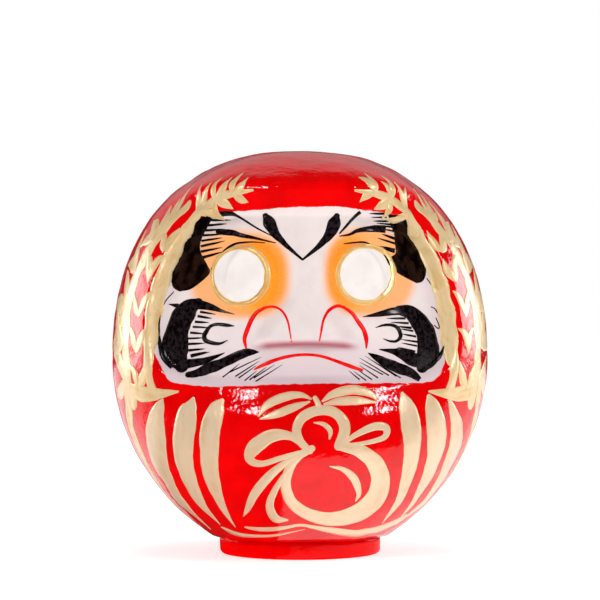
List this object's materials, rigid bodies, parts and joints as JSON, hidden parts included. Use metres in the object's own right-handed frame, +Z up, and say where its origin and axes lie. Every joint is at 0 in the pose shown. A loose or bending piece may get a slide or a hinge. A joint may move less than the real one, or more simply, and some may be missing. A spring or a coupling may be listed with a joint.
{
  "type": "daruma doll",
  "caption": "Round, self-righting paper-pulp doll with a sunken painted face and blank eyes, on a weighted foot, kept as a charm for a wish.",
  "frame": {"origin": "centre of the foot's underside, on the surface that the doll stands on", "axes": "+Z up through the crown; the face looks along -Y; +X is the viewer's right when facing the doll"},
  "size_m": [0.223, 0.2194, 0.2385],
  "materials": {
    "lacquered_pulp": "gloss",
    "seam_paper": "gloss",
    "foot_pulp": "gloss",
    "clay": "matte",
    "base_paper": "matte"
  },
  "bodies": {
    "root": {"front_shell": "lacquered_pulp", "rear_shell": "lacquered_pulp", "seam_strip_left": "seam_paper", "seam_strip_right": "seam_paper", "seam_strip_crown": "seam_paper", "foot_dish": "foot_pulp", "clay_weight": "clay", "base_paper": "base_paper"}
  },
  "joints": []
}
